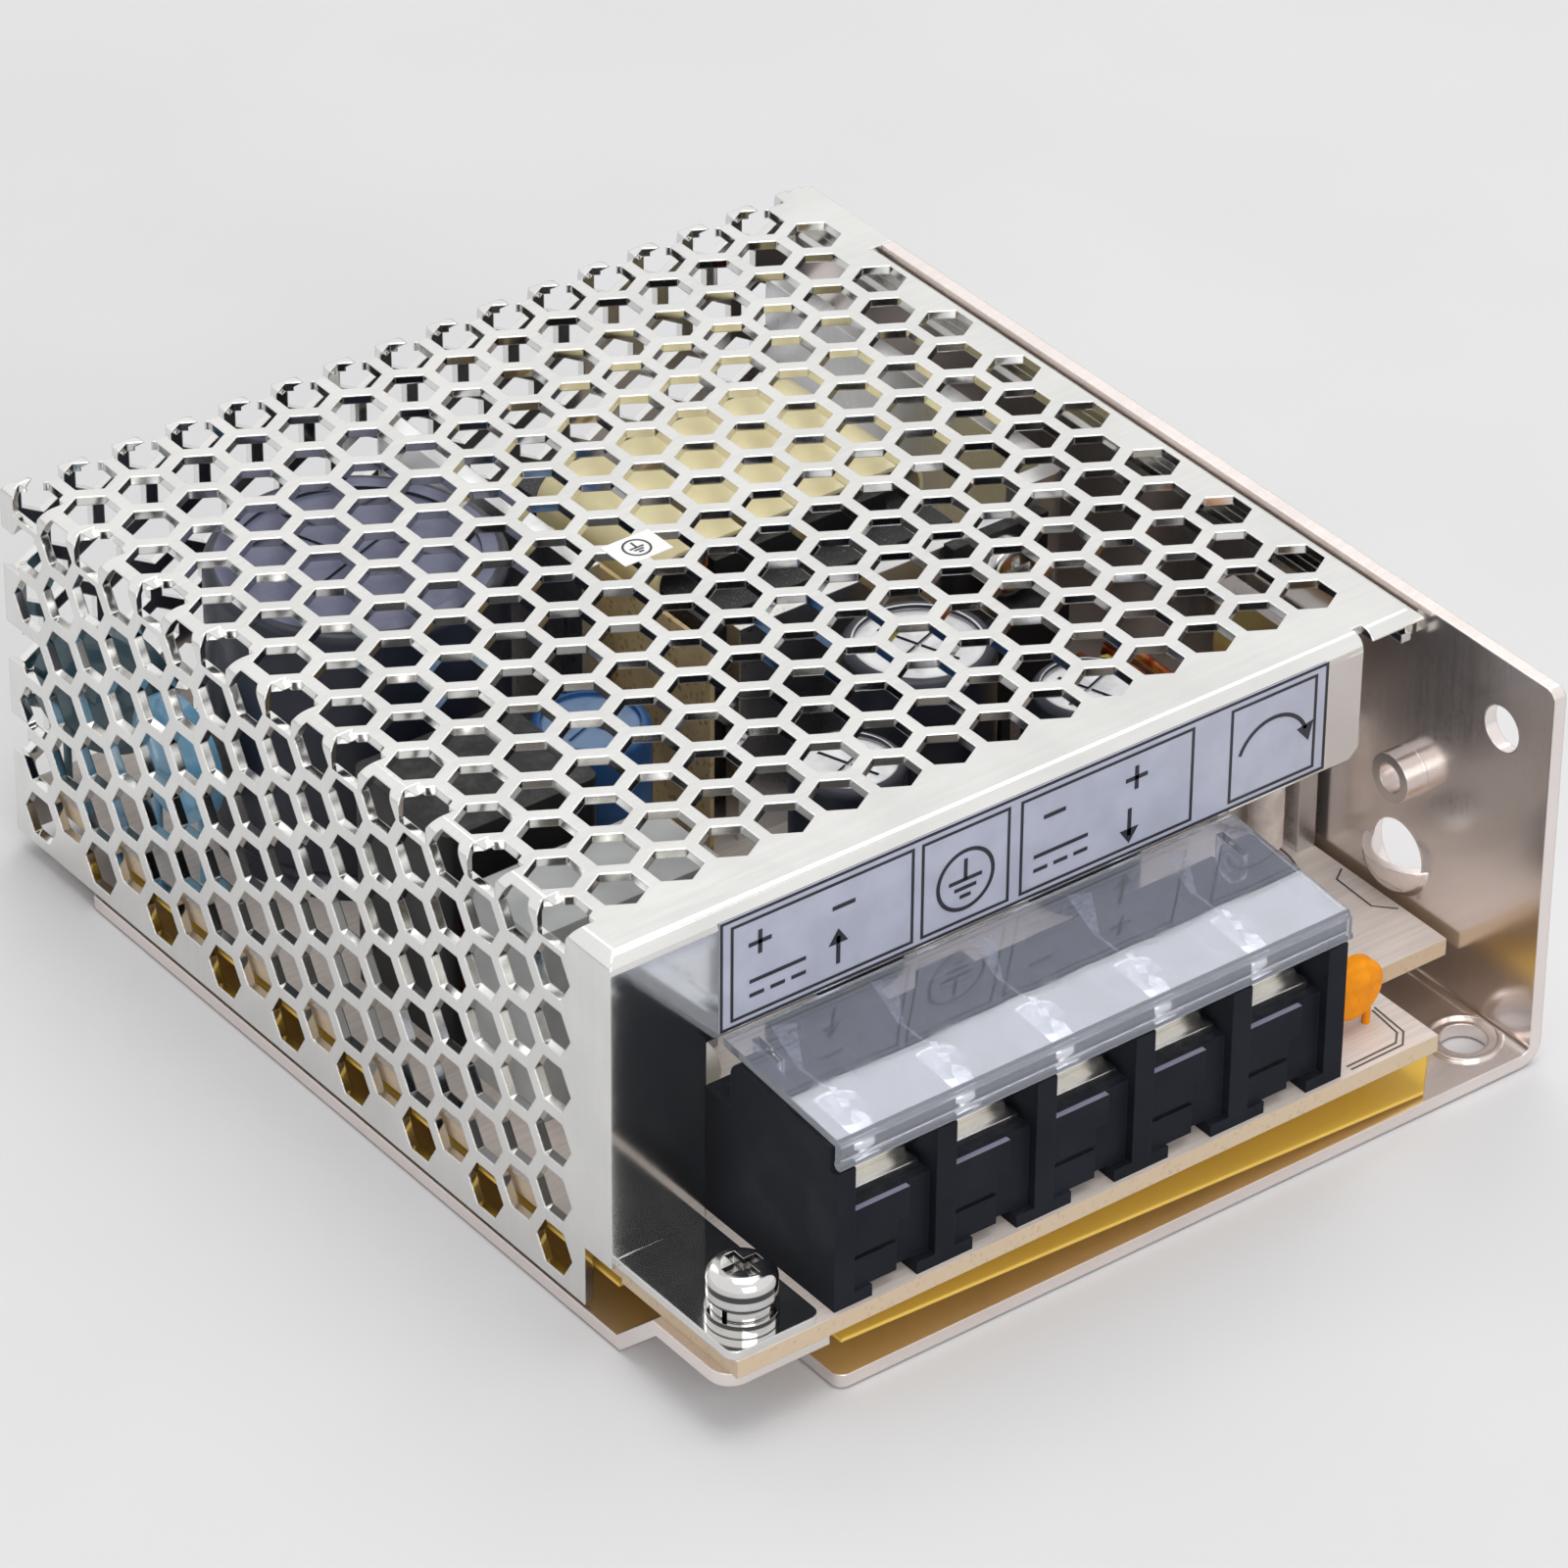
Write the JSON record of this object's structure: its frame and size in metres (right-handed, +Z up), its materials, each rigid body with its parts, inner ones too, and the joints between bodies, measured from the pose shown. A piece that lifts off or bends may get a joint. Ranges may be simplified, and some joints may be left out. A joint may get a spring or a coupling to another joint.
{
  "type": "enclosed switching power supply",
  "caption": "Enclosed power supply: folded perforated steel cover on an L-shaped chassis, with a barrier terminal block under a hinged clear cover and a trimmer.",
  "frame": {"origin": "middle of the footprint, on the underside of the base", "axes": "+Z up from the base, -Y towards the terminals, +X towards the chassis's side wall"},
  "size_m": [0.082, 0.099, 0.036],
  "materials": {
    "chassis_steel": "plated sheet, satin",
    "cover_steel": "plated sheet, satin",
    "film": "translucent yellow film",
    "board": "laminate with a pale printed face",
    "screw_steel": "bright plated",
    "black_plastic": "moulded, satin",
    "plated_brass": "tin plated",
    "clear_plastic": "clear moulded",
    "ivory_plastic": "moulded",
    "orange_coat": "dipped coating",
    "dark_sleeve": "printed shrink sleeve",
    "bulk_sleeve": "shrink sleeve",
    "aluminium": "sheared plate",
    "ferrite": "sintered",
    "copper": "enamelled wire",
    "yellow_tape": "polyester tape",
    "tan_paper": "pressed paper",
    "grey_plastic": "moulded",
    "blue_sleeve": "shrink sleeve",
    "light_blue_coat": "dipped coating",
    "teal_coat": "dipped coating",
    "ring_coat": "coated powder core",
    "resistor_coat": "lacquered"
  },
  "bodies": {
    "case": {"chassis": "chassis_steel", "case_cover": "cover_steel", "insulation_sheet": "film", "circuit_board": "board", "board_screws": "screw_steel", "ground_screw": "screw_steel", "ground_washers": "screw_steel", "terminal_block": "black_plastic", "terminal_plates": "plated_brass", "trimmer_body": "black_plastic", "disc_capacitor": "orange_coat", "bulk_capacitor": "bulk_sleeve", "primary_heatsink": "aluminium", "switch_transistor": "black_plastic", "output_heatsink": "aluminium", "output_rectifier": "black_plastic", "heatsink_screws": "screw_steel", "transformer_core": "ferrite", "transformer_winding": "copper", "transformer_bobbin": "black_plastic", "transformer_tape": "yellow_tape", "barrier_paper": "tan_paper", "filter_choke_case": "black_plastic", "filter_choke_winding": "copper", "toroid_core": "ring_coat", "toroid_winding": "copper", "box_capacitor": "grey_plastic", "blue_capacitor": "blue_sleeve", "output_capacitor_1": "dark_sleeve", "output_capacitor_2": "dark_sleeve", "output_capacitor_3": "dark_sleeve", "safety_capacitor": "light_blue_coat", "surge_varistor": "teal_coat", "bridge_rectifier": "black_plastic", "line_fuse": "ivory_plastic", "controller_chip": "black_plastic", "opto_coupler": "black_plastic", "power_resistors": "resistor_coat", "side_plate": "aluminium"},
    "clear_cover": {"terminal_cover": "clear_plastic"},
    "trimmer": {"trimmer_rotor": "ivory_plastic"},
    "clamp_body_1": {"clamp_1": "plated_brass"},
    "screw_body_1": {"terminal_screw_1": "screw_steel"},
    "clamp_body_2": {"clamp_2": "plated_brass"},
    "screw_body_2": {"terminal_screw_2": "screw_steel"},
    "clamp_body_3": {"clamp_3": "plated_brass"},
    "screw_body_3": {"terminal_screw_3": "screw_steel"},
    "clamp_body_4": {"clamp_4": "plated_brass"},
    "screw_body_4": {"terminal_screw_4": "screw_steel"},
    "clamp_body_5": {"clamp_5": "plated_brass"},
    "screw_body_5": {"terminal_screw_5": "screw_steel"}
  },
  "joints": [
    {"name": "cover_hinge", "type": "hinge", "parent": "case", "child": "clear_cover", "pos_m": [0, -0.0373, 0.0219], "axis": [-1, 0, 0], "range_deg": [0, 90]},
    {"name": "trimmer_turn", "type": "hinge", "parent": "case", "child": "trimmer", "pos_m": [0.02395, -0.0381, 0.0118], "axis": [0, 0, 1], "range_deg": [-130, 130]},
    {"name": "clamp_1_lift", "type": "slide", "parent": "case", "child": "clamp_body_1", "axis": [0, 0, 1], "range_m": [0, 0.003]},
    {"name": "screw_1_turn", "type": "hinge", "parent": "clamp_body_1", "child": "screw_body_1", "pos_m": [-0.02479, -0.0422, 0.0174], "axis": [0, 0, 1], "range_deg": [0, 1800]},
    {"name": "clamp_2_lift", "type": "slide", "parent": "case", "child": "clamp_body_2", "axis": [0, 0, 1], "range_m": [0, 0.003]},
    {"name": "screw_2_turn", "type": "hinge", "parent": "clamp_body_2", "child": "screw_body_2", "pos_m": [-0.01506, -0.0422, 0.0174], "axis": [0, 0, 1], "range_deg": [0, 1800]},
    {"name": "clamp_3_lift", "type": "slide", "parent": "case", "child": "clamp_body_3", "axis": [0, 0, 1], "range_m": [0, 0.003]},
    {"name": "screw_3_turn", "type": "hinge", "parent": "clamp_body_3", "child": "screw_body_3", "pos_m": [-0.00532, -0.0422, 0.0174], "axis": [0, 0, 1], "range_deg": [0, 1800]},
    {"name": "clamp_4_lift", "type": "slide", "parent": "case", "child": "clamp_body_4", "axis": [0, 0, 1], "range_m": [0, 0.003]},
    {"name": "screw_4_turn", "type": "hinge", "parent": "clamp_body_4", "child": "screw_body_4", "pos_m": [0.00441, -0.0422, 0.0174], "axis": [0, 0, 1], "range_deg": [0, 1800]},
    {"name": "clamp_5_lift", "type": "slide", "parent": "case", "child": "clamp_body_5", "axis": [0, 0, 1], "range_m": [0, 0.003]},
    {"name": "screw_5_turn", "type": "hinge", "parent": "clamp_body_5", "child": "screw_body_5", "pos_m": [0.01413, -0.0422, 0.0174], "axis": [0, 0, 1], "range_deg": [0, 1800]}
  ],
  "couplings": [
    {"joint": "screw_1_turn", "follows": "clamp_1_lift", "rad_per_m": 10472},
    {"joint": "screw_2_turn", "follows": "clamp_2_lift", "rad_per_m": 10472},
    {"joint": "screw_3_turn", "follows": "clamp_3_lift", "rad_per_m": 10472},
    {"joint": "screw_4_turn", "follows": "clamp_4_lift", "rad_per_m": 10472},
    {"joint": "screw_5_turn", "follows": "clamp_5_lift", "rad_per_m": 10472}
  ]
}
